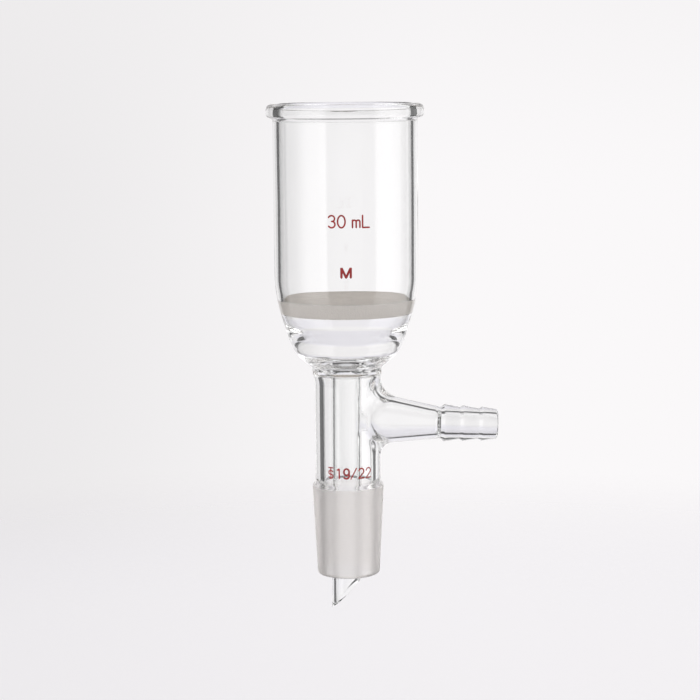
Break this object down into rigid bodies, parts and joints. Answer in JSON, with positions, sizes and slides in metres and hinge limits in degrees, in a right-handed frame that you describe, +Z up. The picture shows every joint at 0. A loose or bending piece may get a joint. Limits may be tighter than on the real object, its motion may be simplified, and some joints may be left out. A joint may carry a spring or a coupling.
{
  "type": "fritted glass filter funnel",
  "caption": "Clear glass filter funnel with a beaded cup, a sintered disc sealed in, a side arm with a hose barb, a ground cone joint and a slanted drip tube.",
  "frame": {"origin": "on the axis of the funnel, at the large end of the ground cone", "axes": "+Z up along the axis, from the drip tube to the rim; the side arm points along +X"},
  "size_m": [0.0602, 0.041, 0.1339],
  "materials": {
    "clear_glass": "clear, with a frosted ground cone",
    "sintered_glass": "matt, fine-grained"
  },
  "bodies": {
    "root": {"glass_body": "clear_glass", "fritted_disc": "sintered_glass"}
  },
  "joints": []
}
